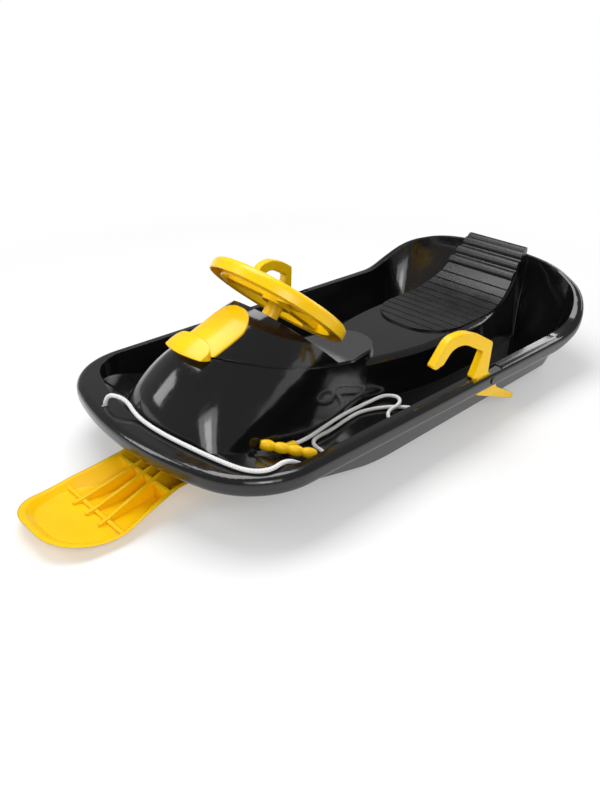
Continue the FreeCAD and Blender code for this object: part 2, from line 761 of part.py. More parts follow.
def hull():
    """The black moulding: tub, rim, seat ridge, lower console and runners."""
    column = well_loft(0)
    above_floor = side_region(floor_edges(0), HIGH)
    above_skin = side_region(floor_edges(WALL), HIGH)
    below_rim = side_region(sheer_edges(0), -HIGH / 2)
    tub = well_loft(WALL).common(above_skin).common(below_rim).cut(column.common(above_floor))
    console = console_body(0, SEAM_GROOVE_WIDTH).fuse(console_body(SEAM_GROOVE_DEPTH, 0))
    islands = console.fuse([ridge_loft(0)] + grip_ribs(-1) + grip_ribs(1)).common(column).common(above_skin)
    shape = tub.fuse([rim().cut(column), islands])

    seat_hollow = ridge_loft(-WALL)
    seat_hollow.translate(Vector(0, 0, -RIDGE_CROWN))
    hollow = console_body(SEAM_GROOVE_DEPTH + WALL, WALL).fuse(seat_hollow)
    shape = shape.cut(hollow.common(column))
    shape = shape.cut(seat_plan(PAD_CLEARANCE).common(side_region(seat_edges(0), HIGH)))
    back_top = seat_edges(0)[-1].Vertexes[-1].Point
    behind = Vector(-REACH, back_top.y - WALL, tail_flange_height())
    shape = shape.cut(Part.makeBox(2 * REACH, REACH, HIGH, behind))
    shape = shape.cut(back_roll(PAD_CLEARANCE).common(seat_plan(PAD_CLEARANCE)))

    shape = shape.fuse([runner(-1), runner(1)])

    pivot = brake_pivot()
    hole = rope_hole()
    cuts = [Part.makeCylinder(ROPE_HOLE_DIAMETER / 2, 2 * ROLL_RADIUS, hole - Vector(0, 0, ROLL_RADIUS))]
    for sign in (-1, 1):
        slot = Part.makeBox(BRAKE_SLOT_WIDTH, BRAKE_SLOT_REAR_Y - BRAKE_SLOT_FRONT_Y, 2 * ROLL_RADIUS)
        low = pivot.z + BRAKE_PIVOT_DROP - ROLL_RADIUS + WALL
        slot.translate(Vector(sign * BRAKE_X - BRAKE_SLOT_WIDTH / 2, BRAKE_SLOT_FRONT_Y, low))
        bore = BRAKE_PIN_DIAMETER / 2 + RUNNING_CLEARANCE
        start = Vector(sign * (BRAKE_PIN_ROOT_X - RUNNING_CLEARANCE), pivot.y, pivot.z)
        cuts += [slot, Part.makeCylinder(bore, 2 * SIDE_FLANGE, start, Vector(sign, 0, 0))]
    cuts.append(steered(cylinder_z(COLUMN_DIAMETER / 2 - WALL, -HIGH / 2, -DASH_DROP - BUSH_LENGTH)))
    cuts += screw_bores(seat_screw_points(), Vector(0, 0, 1), 4 * WALL, 1)
    for point in seat_screw_points():
        foot = point - Vector(0, 0, SEAT_SKIN + 2 * WALL)
        cuts.append(Part.makeCylinder(SCREW_HEAD_DIAMETER / 2 + 1, 2 * WALL, foot))
    cuts += screw_bores(cowl_screw_points() + column_screw_points(), DECK_NORMAL, 4 * WALL, 1)
    return shape.cut(cuts).removeSplitter()


def seat_frame(distance, lift):
    """Placement on the seat profile: a distance along it from its front, raised square to it."""
    angle = math.radians(BACK_ANGLE)
    level = SEAT_BEND_Y - SEAT_FRONT_Y
    bend = SEAT_BEND_RADIUS * angle
    if distance <= level:
        turn = 0.0
        base = yz(SEAT_FRONT_Y + distance, SEAT_Z)
    else:
        turn = min((distance - level) / SEAT_BEND_RADIUS, angle)
        base = yz(SEAT_BEND_Y, SEAT_Z + SEAT_BEND_RADIUS)
        base = base + yz(math.sin(turn), -math.cos(turn)) * SEAT_BEND_RADIUS
        beyond = max(0.0, distance - level - bend)
        base = base + yz(math.cos(turn), math.sin(turn)) * beyond
    normal = yz(-math.sin(turn), math.cos(turn))
    return Placement(base + normal * lift, Rotation(Vector(1, 0, 0), math.degrees(turn)))


def slatted_length():
    """Length of the seat's profile up to the foot of the backrest's waves."""
    return SEAT_BEND_Y - SEAT_FRONT_Y + SEAT_BEND_RADIUS * math.radians(BACK_ANGLE)


def back_roll(grow):
    """The roll along the top of the backrest, grown all round by grow."""
    top = seat_frame(slatted_length() + BACK_LENGTH, PAD_THICKNESS / 2).Base
    start = top - Vector(2 * PAD_HALF_WIDTH, 0, 0)
    return Part.makeCylinder(PAD_ROLL_RADIUS + grow, 4 * PAD_HALF_WIDTH, start, Vector(1, 0, 0))


def seat_pad():
    """The ribbed panel on the seat, with slats on the seat and waves up the backrest."""
    lower = seat_edges(0)
    upper = seat_edges(PAD_THICKNESS)
    ends = [
        Part.LineSegment(lower[-1].Vertexes[-1].Point, upper[-1].Vertexes[-1].Point).toShape(),
        Part.LineSegment(upper[0].Vertexes[0].Point, lower[0].Vertexes[0].Point).toShape(),
    ]
    outline = Part.Wire(Part.__sortEdges__(lower + upper + ends))
    shape = side_prism(outline, 2 * PAD_HALF_WIDTH)

    level = slatted_length()
    pitch = level / SLAT_COUNT
    wide = 4 * PAD_HALF_WIDTH
    grooves = []
    for index in range(1, SLAT_COUNT):
        corner = Vector(-wide / 2, -SLAT_GROOVE_WIDTH / 2, -SLAT_GROOVE_DEPTH)
        groove = Part.makeBox(wide, SLAT_GROOVE_WIDTH, 2 * SLAT_GROOVE_DEPTH, corner)
        groove.Placement = seat_frame(index * pitch, PAD_THICKNESS)
        grooves.append(groove)
    shape = shape.cut(grooves)

    bolsters = []
    wave = BACK_LENGTH / BACK_WAVE_COUNT
    for index in range(BACK_WAVE_COUNT):
        place = seat_frame(level + (index + 0.5) * wave, PAD_THICKNESS)
        half = wave / 2 - SLAT_GROOVE_WIDTH / 2
        radius = (half ** 2 + BACK_WAVE_DEPTH ** 2) / (2 * BACK_WAVE_DEPTH)
        axis_end = Vector(-wide / 2, 0, BACK_WAVE_DEPTH - radius)
        roll = Part.makeCylinder(radius, wide, axis_end, Vector(1, 0, 0))
        sunk = PAD_THICKNESS / 2
        corner = Vector(-wide / 2, -wave / 2, -sunk)
        roll = roll.common(Part.makeBox(wide, wave, BACK_WAVE_DEPTH + sunk, corner))
        roll.Placement = place
        bolsters.append(roll)
    top = seat_frame(level + BACK_LENGTH, PAD_THICKNESS / 2).Base
    foot = tail_flange_height() + PAD_CLEARANCE
    corner = Vector(-wide / 2, top.y - PAD_THICKNESS / 2, foot)
    hook = Part.makeBox(wide, PAD_THICKNESS, top.z - foot, corner)
    shape = shape.fuse(bolsters + [back_roll(0), hook]).common(seat_plan(0))
    return shape.cut(screw_bores(seat_screw_points(), Vector(0, 0, 1), 1, SCREW_BITE)).removeSplitter()


def seat_screws():
    depth = SEAT_SKIN
    screws = []
    for point in seat_screw_points():
        screws.append(screw(point - Vector(0, 0, depth), Vector(0, 0, 1), depth + SCREW_BITE))
    return Part.makeCompound(screws)


def cowl():
    """The black cover on the console, with the sloping dash that the shaft comes out of."""
    above_seam = side_region(seam_edges(0), HIGH)
    outer = console_loft(0).common(above_seam).common(half_space_below_dash(0))
    inner = console_loft(-COWL_WALL).common(half_space_below_dash(COWL_WALL))
    shape = outer.cut(inner)
    posts = []
    for point in cowl_screw_points():
        post = Part.makeCylinder(SCREW_BOSS_DIAMETER / 2, SCREW_POST, point, DECK_NORMAL)
        posts.append(post.common(outer))
    shape = shape.fuse(posts)
    cuts = screw_bores(cowl_screw_points(), DECK_NORMAL, 1, SCREW_GRIP)
    bore = BUSH_DIAMETER / 2 + RUNNING_CLEARANCE
    cuts.append(steered(cylinder_z(bore, -DASH_DROP - 2 * COWL_WALL, -DASH_DROP + 1)))
    return shape.cut(cuts)


def cowl_screws():
    screws = [screw(p - DECK_NORMAL * WALL, DECK_NORMAL, WALL + SCREW_GRIP) for p in cowl_screw_points()]
    return Part.makeCompound(screws)


def trim_window(half, front, rear, front_corner, rear_corner):
    """A rounded window over the cowl's front, as a tall prism."""
    points = [
        Vector(half, front, 0),
        Vector(half, rear, 0),
        Vector(-half, rear, 0),
        Vector(-half, front, 0),
    ]
    outline = rounded_polygon(points, [front_corner, rear_corner, rear_corner, front_corner])
    return Part.Face(outline).extrude(Vector(0, 0, HIGH))


def windscreen_trim():
    """The yellow piece on the cowl's front, with a thicker lip along its foot."""
    dome = console_loft(0)
    window = trim_window(TRIM_HALF_WIDTH, TRIM_FRONT_Y, TRIM_REAR_Y, TRIM_FOOT_CORNER, TRIM_TOP_CORNER)
    sheet = console_loft(TRIM_THICKNESS).common(window).common(side_region(seam_edges(0), HIGH))
    corner = TRIM_FOOT_CORNER
    foot = trim_window(TRIM_LIP_HALF_WIDTH, TRIM_LIP_FRONT_Y, TRIM_LIP_REAR_Y, corner, corner)
    lip = console_loft(TRIM_LIP).common(foot).common(side_region(seam_edges(TRIM_LIP_LAP), HIGH))
    return sheet.fuse(lip).cut(dome).common(half_space_below_dash(0))


def revolved(points, radii):
    """A closed outline in the plane of the steering axis, turned about it."""
    face = Part.Face(rounded_polygon(points, radii))
    return face.revolve(Vector(0, 0, 0), Vector(0, 0, 1), 360)


def wheel_ring():
    """The rim: a channel that is open underneath, with a rounded top."""
    depth = WHEEL_RIM_DEPTH / 2
    inner = WHEEL_RADIUS - WHEEL_RIM_WIDTH
    crown = depth - WHEEL_SHELL
    points = [
        Vector(inner, 0, -depth),
        Vector(inner + WHEEL_SHELL, 0, -depth),
        Vector(inner + WHEEL_SHELL, 0, crown),
        Vector(WHEEL_RADIUS - WHEEL_SHELL, 0, crown),
        Vector(WHEEL_RADIUS - WHEEL_SHELL, 0, -depth),
        Vector(WHEEL_RADIUS, 0, -depth),
        Vector(WHEEL_RADIUS, 0, depth),
        Vector(inner, 0, depth),
    ]
    edge = WHEEL_SHELL / 3
    fold = WHEEL_RIM_ROUND - WHEEL_SHELL
    return revolved(points, [edge, edge, fold, fold, edge, edge, WHEEL_RIM_ROUND, WHEEL_RIM_ROUND])


def wheel_hub():
    """A cup round the boss, with recesses for the nut and the cap."""
    depth = WHEEL_RIM_DEPTH / 2
    low = -DASH_DROP + BUSH_FLANGE_THICKNESS + END_PLAY
    under = depth - 2 * WHEEL_SHELL
    recess = CAP_DIAMETER / 2 + RUNNING_CLEARANCE
    nut_room = CAP_DIAMETER / 2 - CAP_LIP
    shelf = depth - CAP_THICKNESS
    seat = wheel_seat()
    points = [
        Vector(0, 0, low),
        Vector(HUB_BOSS_RADIUS, 0, low),
        Vector(HUB_BOSS_RADIUS, 0, under),
        Vector(HUB_RADIUS - WHEEL_SHELL, 0, under),
        Vector(HUB_RADIUS - WHEEL_SHELL, 0, -depth),
        Vector(HUB_RADIUS, 0, -depth),
        Vector(HUB_RADIUS, 0, depth),
        Vector(recess, 0, depth),
        Vector(recess, 0, shelf),
        Vector(nut_room, 0, shelf),
        Vector(nut_room, 0, seat),
        Vector(0, 0, seat),
    ]
    face = Part.Face(Part.makePolygon(points + points[:1]))
    return face.revolve(Vector(0, 0, 0), Vector(0, 0, 1), 360)


def wheel_spoke(turn):
    """One spoke, a channel that is open underneath."""
    depth = WHEEL_RIM_DEPTH / 2
    reach = WHEEL_RADIUS - WHEEL_RIM_WIDTH + WHEEL_SHELL / 2
    top = depth - SPOKE_SINK
    bar = Part.makeBox(SPOKE_WIDTH, reach, SPOKE_DEPTH, Vector(-SPOKE_WIDTH / 2, 0, top - SPOKE_DEPTH))
    width = SPOKE_WIDTH - 2 * WHEEL_SHELL
    corner = Vector(-width / 2, 0, top - SPOKE_DEPTH - WHEEL_SHELL)
    bar = bar.cut(Part.makeBox(width, 2 * reach, SPOKE_DEPTH, corner))
    bar = bar.common(cylinder_z(reach, -HIGH, HIGH))
    bar = bar.cut(cylinder_z(HUB_RADIUS - WHEEL_SHELL / 2, -HIGH, HIGH))
    bar.rotate(Vector(0, 0, 0), Vector(0, 0, 1), turn)
    return bar


def wheel_rib(turn):
    """One of the webs between the hub's boss and its cup."""
    depth = WHEEL_RIM_DEPTH / 2
    size = HUB_RADIUS - HUB_BOSS_RADIUS - WHEEL_SHELL + 2
    corner = Vector(HUB_BOSS_RADIUS - 1, -WHEEL_SHELL / 2, -depth + WHEEL_SHELL)
    web = Part.makeBox(size, WHEEL_SHELL, WHEEL_RIM_DEPTH - 2 * WHEEL_SHELL - 1, corner)
    web.rotate(Vector(0, 0, 0), Vector(0, 0, 1), turn)
    return web


def steering_wheel():
    """Hollow-backed rim on three spokes, with a deep hub that is keyed to the shaft's flat."""
    pieces = [wheel_ring()] + [wheel_spoke(turn) for turn in SPOKE_TURNS]
    pieces += [wheel_rib(360 * (index + 0.5) / HUB_RIB_COUNT) for index in range(HUB_RIB_COUNT)]
    shape = wheel_hub().fuse(pieces).cut(keyed_bore(wheel_seat() + 1))
    return steered(shape)


def wheel_seat():
    """Level of the recess floor that the washer lies on."""
    return WHEEL_RIM_DEPTH / 2 - CAP_THICKNESS - NUT_HEIGHT - WASHER_THICKNESS - NUT_ROOM


def keyed_bore(high):
    """The D-shaped hole for the shaft's flatted end."""
    radius = SHAFT_DIAMETER / 2 + RUNNING_CLEARANCE
    bore = cylinder_z(radius, -DASH_DROP, high)
    corner = Vector(-radius, radius - SHAFT_FLAT, -HIGH / 2)
    return bore.cut(Part.makeBox(2 * radius, radius, HIGH, corner))


def wheel_cap():
    face = WHEEL_RIM_DEPTH / 2
    return steered(cylinder_z(CAP_DIAMETER / 2, face - CAP_THICKNESS, face + CAP_PROUD))


def hexagon(across, low, height):
    points = []
    for index in range(7):
        angle = math.radians(60 * index)
        corner = Vector(math.cos(angle), math.sin(angle), 0) * (across / math.sqrt(3))
        points.append(corner + Vector(0, 0, low))
    return Part.Face(Part.makePolygon(points)).extrude(Vector(0, 0, height))


def wheel_nut():
    low = wheel_seat() + WASHER_THICKNESS
    bore = cylinder_z(SHAFT_DIAMETER / 2 + RUNNING_CLEARANCE, low - 1, low + NUT_HEIGHT + 1)
    return steered(hexagon(NUT_ACROSS, low, NUT_HEIGHT).cut(bore))


def wheel_washer():
    low = wheel_seat()
    bore = cylinder_z(SHAFT_DIAMETER / 2 + RUNNING_CLEARANCE, low - 1, low + WASHER_THICKNESS + 1)
    return steered(cylinder_z(WASHER_DIAMETER / 2, low, low + WASHER_THICKNESS).cut(bore))


def ski_bolt_level():
    return axis_length(COLUMN_FOOT_Z) - END_PLAY - SKI_BOLT_DROP


def ski_bolt_bore():
    """The hole for the cross bolt, through the ski's boss and the shaft."""
    radius = SKI_BOLT_DIAMETER / 2 + RUNNING_CLEARANCE
    start = Vector(-SKI_BOSS_DIAMETER, 0, ski_bolt_level())
    return steered(Part.makeCylinder(radius, 2 * SKI_BOSS_DIAMETER, start, Vector(1, 0, 0)))


def steering_shaft():
    low = axis_length(SHAFT_FOOT_Z)
    high = wheel_seat() + WASHER_THICKNESS + NUT_HEIGHT
    shape = cylinder_z(SHAFT_DIAMETER / 2, low, high)
    flat_low = -DASH_DROP + BUSH_FLANGE_THICKNESS + END_PLAY
    corner = Vector(-SHAFT_DIAMETER, SHAFT_DIAMETER / 2 - SHAFT_FLAT, flat_low)
    flat = Part.makeBox(2 * SHAFT_DIAMETER, SHAFT_DIAMETER, wheel_seat() - flat_low, corner)
    return steered(shape.cut(flat)).cut(ski_bolt_bore())


def upper_bush():
    """Flanged plastic bush in the dash."""
    face = -DASH_DROP
    shape = cylinder_z(BUSH_DIAMETER / 2, face - BUSH_LENGTH, face)
    shape = shape.fuse(cylinder_z(BUSH_FLANGE_DIAMETER / 2, face, face + BUSH_FLANGE_THICKNESS))
    bore = cylinder_z(SHAFT_DIAMETER / 2 + RUNNING_CLEARANCE, face - BUSH_LENGTH - 1, face + 10)
    return steered(shape.cut(bore).removeSplitter())


def steering_column():
    """Long plastic bearing under the deck, with a plate that is screwed to it."""
    low = axis_length(COLUMN_FOOT_Z)
    tube = steered(cylinder_z(COLUMN_DIAMETER / 2, low, 0))
    top = deck_crossing() - DECK_NORMAL * WALL
    under_deck = Part.makeBox(2 * REACH, 2 * REACH, REACH, Vector(-REACH, -REACH, -REACH))
    under_deck.Placement = Placement(top, Rotation(Vector(1, 0, 0), -math.degrees(SEAM_TILT)))
    size = (COLUMN_PLATE_LENGTH, COLUMN_PLATE_WIDTH, COLUMN_PLATE_THICKNESS)
    plate = Part.makeBox(*size, Vector(-size[0] / 2, -size[1] / 2, -size[2]))
    plate.Placement = under_deck.Placement
    shape = tube.common(under_deck).fuse(plate)
    cuts = screw_bores(column_screw_points(), DECK_NORMAL, 4 * WALL, 1)
    cuts.append(steered(cylinder_z(SHAFT_DIAMETER / 2 + RUNNING_CLEARANCE, low - 1, 0)))
    return shape.cut(cuts).removeSplitter()


def column_screws():
    depth = WALL + COLUMN_PLATE_THICKNESS
    screws = [screw(p - DECK_NORMAL * depth, DECK_NORMAL, depth + SCREW_TIP) for p in column_screw_points()]
    return Part.makeCompound(screws)


def ski_plan(inset):
    """The ski's outline from above with its flared walls, moved inwards by inset."""

    def outline(z):
        spread = SKI_FLARE * z - inset
        tip = SKI_TIP_Y - spread
        half = SKI_TIP_HALF_WIDTH + spread
        waist = SKI_WAIST_HALF_WIDTH + spread
        points = [
            Vector(waist, SKI_REAR_Y - inset, z),
            Vector(waist, SKI_WAIST_Y, z),
            Vector(half, tip, z),
            Vector(-half, tip, z),
            Vector(-waist, SKI_WAIST_Y, z),
            Vector(-waist, SKI_REAR_Y - inset, z),
        ]
        corner = SKI_TIP_ROUND * half
        heel = SKI_HEEL_CORNER
        return rounded_polygon(points, [heel, SKI_WAIST_BEND, corner, corner, SKI_WAIST_BEND, heel])

    return Part.makeLoft([outline(-SKI_BASE), outline(SKI_WALL_REAR + SKI_BASE)], True, True)


def ski_bottom(lift):
    """Everything above the ski's running face, raised by lift."""
    ahead = SKI_SHOULDER_Y - SKI_FAR
    points = [
        yz(SKI_REAR_Y + SKI_FAR, lift),
        yz(SKI_SHOULDER_Y, lift),
        yz(ahead, SKI_TIP_SLOPE * SKI_FAR + lift),
    ]
    return side_region(rounded_edges(points, [SKI_TIP_RADIUS]), HIGH)


def ski_top(rear, front):
    """Everything under a line along the ski, from one height at its crest to another at its shoulder."""
    ahead = SKI_SHOULDER_Y - SKI_FAR
    points = [
        yz(SKI_REAR_Y + SKI_FAR, rear),
        yz(SKI_CREST_Y, rear),
        yz(SKI_SHOULDER_Y, front),
        yz(ahead, front + SKI_TIP_SLOPE * SKI_FAR),
    ]
    return side_region(rounded_edges(points, [SKI_CREST_RADIUS, SKI_TIP_RADIUS / 2]), -HIGH / 2)


def steering_ski():
    """Wide ski with raised edges, converging ribs and a boss for the shaft."""
    body = ski_plan(0).common(ski_bottom(0)).common(ski_top(SKI_WALL_REAR, SKI_WALL_FRONT))
    body = body.cut(ski_plan(SKI_WALL * math.hypot(1, SKI_FLARE)).common(ski_bottom(SKI_BASE)))
    front = SKI_SHOULDER_Y + SKI_RIB
    ribs = []
    for side in (-1, 0, 1):
        half = SKI_RIB / 2
        ahead = side * SKI_RIB_SPREAD
        behind = side * SKI_RIB_REAR_SPREAD
        points = [
            Vector(ahead - half, front, 0),
            Vector(ahead + half, front, 0),
            Vector(behind + half, SKI_REAR_Y - half, 0),
            Vector(behind - half, SKI_REAR_Y - half, 0),
        ]
        ribs.append(Part.Face(Part.makePolygon(points + points[:1])).extrude(Vector(0, 0, HIGH)))
    wide = 2 * SKI_TIP_HALF_WIDTH
    crosses = [Part.makeBox(2 * wide, SKI_RIB, HIGH, Vector(-wide, y, 0)) for y in SKI_CROSS_RIBS]
    inside = ski_plan(SKI_WALL).common(ski_bottom(SKI_BASE / 2))
    crest = SKI_WALL_REAR + SKI_RIB_RISE
    ribs = [rib.common(ski_top(crest, SKI_RIB_FRONT)) for rib in ribs]
    drop = SKI_CROSS_DROP
    ribs += [rib.common(ski_top(crest - drop, SKI_RIB_FRONT - drop)) for rib in crosses]
    ribs = [rib.common(inside) for rib in ribs]
    high = axis_length(COLUMN_FOOT_Z) - END_PLAY
    boss = steered(cylinder_z(SKI_BOSS_DIAMETER / 2, -HIGH, high)).common(ski_bottom(SKI_BASE / 2))
    body = body.fuse(ribs + [boss])
    bore = steered(cylinder_z(SHAFT_DIAMETER / 2 + RUNNING_CLEARANCE, axis_length(SHAFT_FOOT_Z), high + 1))
    level = ski_bolt_level()
    reach = SKI_BOSS_DIAMETER / 2 - SKI_BOSS_FLAT
    flats = []
    for sign in (-1, 1):
        start = Vector(sign * reach, 0, level)
        spot = Part.makeCylinder(SKI_SPOT_RADIUS, SKI_BOSS_DIAMETER, start, Vector(sign, 0, 0))
        flats.append(steered(spot))
    return body.cut([bore, ski_bolt_bore()] + flats).removeSplitter()


def ski_bolt():
    """Cross bolt that keys the ski to the shaft."""
    reach = SKI_BOSS_DIAMETER / 2 - SKI_BOSS_FLAT
    length = 2 * reach + SKI_NUT_HEIGHT + 1
    level = ski_bolt_level()
    seat = Vector(reach, 0, level)
    shank = Part.makeCylinder(SKI_BOLT_DIAMETER / 2, length, seat, Vector(-1, 0, 0))
    head = Part.makeCylinder(SKI_BOLT_HEAD / 2, SKI_BOLT_HEAD_HEIGHT, seat, Vector(1, 0, 0))
    return steered(shank.fuse(head).removeSplitter())


def ski_nut():
    reach = SKI_BOSS_DIAMETER / 2 - SKI_BOSS_FLAT
    nut = hexagon(SKI_BOLT_HEAD, 0, SKI_NUT_HEIGHT)
    nut = nut.cut(cylinder_z(SKI_BOLT_DIAMETER / 2 + RUNNING_CLEARANCE, -1, SKI_NUT_HEIGHT + 1))
    nut.rotate(Vector(0, 0, 0), Vector(0, 1, 0), -90)
    nut.translate(Vector(-reach, 0, ski_bolt_level()))
    return steered(nut)


def brake_outline(corners, level):
    """A closed outline of the brake, from places along the sled from its pivot and heights over a level."""
    points = [yz(BRAKE_PIVOT_Y + along, level + up) for along, up, radius in corners]
    return rounded_polygon(points, [radius for along, up, radius in corners])


def brake_lever():
    """The left hand brake: a grip that turns inwards over the rim, a pivot hub, and a claw under the rim."""
    pivot = brake_pivot()
    rim_z = pivot.z + BRAKE_PIVOT_DROP
    grip = side_prism(brake_outline(BRAKE_GRIP_OUTLINE, rim_z), BRAKE_GRIP_THICKNESS / 2)
    grip = grip.makeFillet(BRAKE_EDGE, [edge for edge in grip.Edges if edge.BoundBox.XLength < 0.01])
    grip.rotate(Vector(0, pivot.y + BRAKE_GRIP_MIDDLE, 0), Vector(0, 0, 1), -BRAKE_GRIP_TURN)
    claw = side_prism(brake_outline(BRAKE_CLAW_OUTLINE, pivot.z), BRAKE_THICKNESS / 2)
    shape = grip.fuse(claw)
    shape.translate(Vector(BRAKE_X, 0, 0))
    radius = BRAKE_PIN_DIAMETER / 2 + RUNNING_CLEARANCE
    start = pivot - Vector(2 * BRAKE_THICKNESS, 0, 0)
    bore = Part.makeCylinder(radius, 4 * BRAKE_THICKNESS, start, Vector(1, 0, 0))
    return shape.cut(bore).removeSplitter()


def brake_pin():
    """Snap-in pivot pin of the left brake, with a low head outside the lip."""
    pivot = brake_pivot()
    start = Vector(BRAKE_PIN_ROOT_X, pivot.y, pivot.z)
    shank = Part.makeCylinder(BRAKE_PIN_DIAMETER / 2, HALF_WIDTH - BRAKE_PIN_ROOT_X, start, Vector(1, 0, 0))
    face = Vector(HALF_WIDTH, pivot.y, pivot.z)
    head = Part.makeCylinder(BRAKE_PIN_HEAD / 2, BRAKE_PIN_HEAD_HEIGHT, face, Vector(1, 0, 0))
    return shank.fuse(head).removeSplitter()


def rope_points():
    """Middle line of the rope, from its tail under the flange to its end in the finger grip."""
    tail = Vector(ROPE_HOLE_X, ROPE_HOLE_Y, ROPE_TAIL_Z)
    return [tail] + [Vector(*point) for point in ROPE_ROUTE]


def bend_radii(points):
    """Radius of each bend, as large as the shorter of its two runs allows."""
    radii = []
    for before, corner, after in zip(points, points[1:], points[2:]):
        back = before - corner
        ahead = after - corner
        half_turn = (math.pi - back.getAngle(ahead)) / 2
        radii.append(ROPE_BEND_SHARE * min(back.Length, ahead.Length) / math.tan(half_turn))
    return radii


def tow_rope():
    points = rope_points()
    radii = bend_radii(points)
    path = Part.Wire(rounded_edges(points, radii))
    section = Part.Wire(Part.makeCircle(ROPE_DIAMETER / 2, points[0], points[1] - points[0]))
    tube = path.makePipeShell([section], True, False)
    expected = math.pi * ROPE_DIAMETER ** 2 / 4 * path.Length
    print("rope length", round(path.Length), "smallest bend", round(min(radii), 1))
    print("rope volume", round(tube.Volume), "section by length", round(expected))
    return tube


def rope_knot():
    """Stopper knot under the nose flange, round the rope's tail."""
    high = rope_hole().z - WALL - END_PLAY
    radius = KNOT_DIAMETER / 2
    knot = Part.makeCylinder(radius, KNOT_HEIGHT, Vector(ROPE_HOLE_X, ROPE_HOLE_Y, high - KNOT_HEIGHT))
    ends = [edge for edge in knot.Edges if edge.BoundBox.ZLength < 0.01]
    knot = knot.makeFillet(KNOT_ROUND, ends)
    bore = ROPE_DIAMETER / 2 + RUNNING_CLEARANCE
    return knot.cut(Part.makeCylinder(bore, HIGH, Vector(ROPE_HOLE_X, ROPE_HOLE_Y, 0)))


def tow_handle():
    """Finger grip: a bar of four lobes with a stem that takes the rope's end."""
    lobe = GRIP_HALF_LENGTH * 2 / GRIP_LOBES
    edges = []
    start = Vector(GRIP_WAIST_RADIUS, 0, -GRIP_HALF_LENGTH)
    for index in range(GRIP_LOBES):
        crest = start + Vector(GRIP_LOBE_RADIUS - GRIP_WAIST_RADIUS, 0, lobe / 2)
        end = start + Vector(0, 0, lobe)
        edges.append(Part.Arc(start, crest, end).toShape())
        start = end
    foot = Vector(0, 0, -GRIP_HALF_LENGTH)
    head = Vector(0, 0, GRIP_HALF_LENGTH)
    edges.append(Part.LineSegment(start, head).toShape())
    edges.append(Part.LineSegment(head, foot).toShape())
    edges.append(Part.LineSegment(foot, Vector(GRIP_WAIST_RADIUS, 0, -GRIP_HALF_LENGTH)).toShape())
    bar = Part.Face(Part.Wire(edges)).revolve(Vector(0, 0, 0), Vector(0, 0, 1), 360)
    centre = Vector(*GRIP_CENTRE)
    along = (Vector(*GRIP_END) - centre).normalize()
    bar.Placement = Placement(centre, Rotation(Vector(0, 0, 1), along))
    rope_end = rope_points()[-1]
    stem_axis = (rope_points()[-2] - rope_end).normalize()
    stem_foot = rope_end - stem_axis * (GRIP_STEM_LENGTH - GRIP_ROPE_DEPTH)
    stem = Part.makeCylinder(GRIP_STEM_RADIUS, GRIP_STEM_LENGTH, stem_foot, stem_axis)
    bore = ROPE_DIAMETER / 2 + RUNNING_CLEARANCE
    hole = Part.makeCylinder(bore, GRIP_STEM_LENGTH, rope_end, stem_axis)
    return bar.fuse(stem).cut(hole)


def export(name, shape):
    print(name, "solids", len(shape.Solids), "valid", shape.isValid(), "volume", round(shape.Volume))
    shape.exportStep("parts/" + name + ".step")


os.makedirs("parts", exist_ok=True)
export("hull", hull())
export("seat_pad", seat_pad())
export("seat_screws", seat_screws())
export("cowl", cowl())
export("cowl_screws", cowl_screws())
export("windscreen_trim", windscreen_trim())
export("steering_wheel", steering_wheel())
export("wheel_cap", wheel_cap())
export("wheel_nut", wheel_nut())
export("wheel_washer", wheel_washer())
export("steering_shaft", steering_shaft())
export("upper_bush", upper_bush())
export("steering_column", steering_column())
export("column_screws", column_screws())
export("steering_ski", steering_ski())
export("ski_bolt", ski_bolt())
export("ski_nut", ski_nut())
export("tow_rope", tow_rope())
export("rope_knot", rope_knot())
export("tow_handle", tow_handle())
export("brake_lever_left", brake_lever())
export("brake_pin_left", brake_pin())
export("brake_lever_right", mirrored(brake_lever()))
export("brake_pin_right", mirrored(brake_pin()))
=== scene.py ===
"""Looks of the steering sled: materials, the braided tow rope, floor, light and camera."""
import math
import bpy
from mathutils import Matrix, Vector

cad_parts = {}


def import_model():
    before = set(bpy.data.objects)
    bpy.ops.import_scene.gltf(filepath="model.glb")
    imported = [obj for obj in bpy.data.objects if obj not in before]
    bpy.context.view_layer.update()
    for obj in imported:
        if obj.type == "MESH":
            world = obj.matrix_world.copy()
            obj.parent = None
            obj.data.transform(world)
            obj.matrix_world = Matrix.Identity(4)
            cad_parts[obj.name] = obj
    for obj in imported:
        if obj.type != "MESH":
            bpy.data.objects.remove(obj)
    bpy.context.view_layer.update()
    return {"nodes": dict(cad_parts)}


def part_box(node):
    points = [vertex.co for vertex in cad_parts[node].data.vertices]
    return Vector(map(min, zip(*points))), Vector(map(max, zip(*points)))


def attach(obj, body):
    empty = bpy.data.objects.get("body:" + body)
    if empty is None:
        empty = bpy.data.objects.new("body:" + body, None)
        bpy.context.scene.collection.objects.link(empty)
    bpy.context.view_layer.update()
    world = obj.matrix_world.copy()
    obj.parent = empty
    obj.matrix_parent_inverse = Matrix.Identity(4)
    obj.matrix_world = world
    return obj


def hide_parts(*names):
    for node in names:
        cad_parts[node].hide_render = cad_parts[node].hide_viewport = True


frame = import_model()
scene = bpy.context.scene

# Camera: angles in degrees, sensor and lens in millimetres, the rest in metres
CAMERA_AZIMUTH = 46.5
CAMERA_ELEVATION = 29.8
CAMERA_DISTANCE = 1.35
CAMERA_TARGET = (0.040, -0.084, 0.062)
SENSOR = 36.0
LENS = 35.37

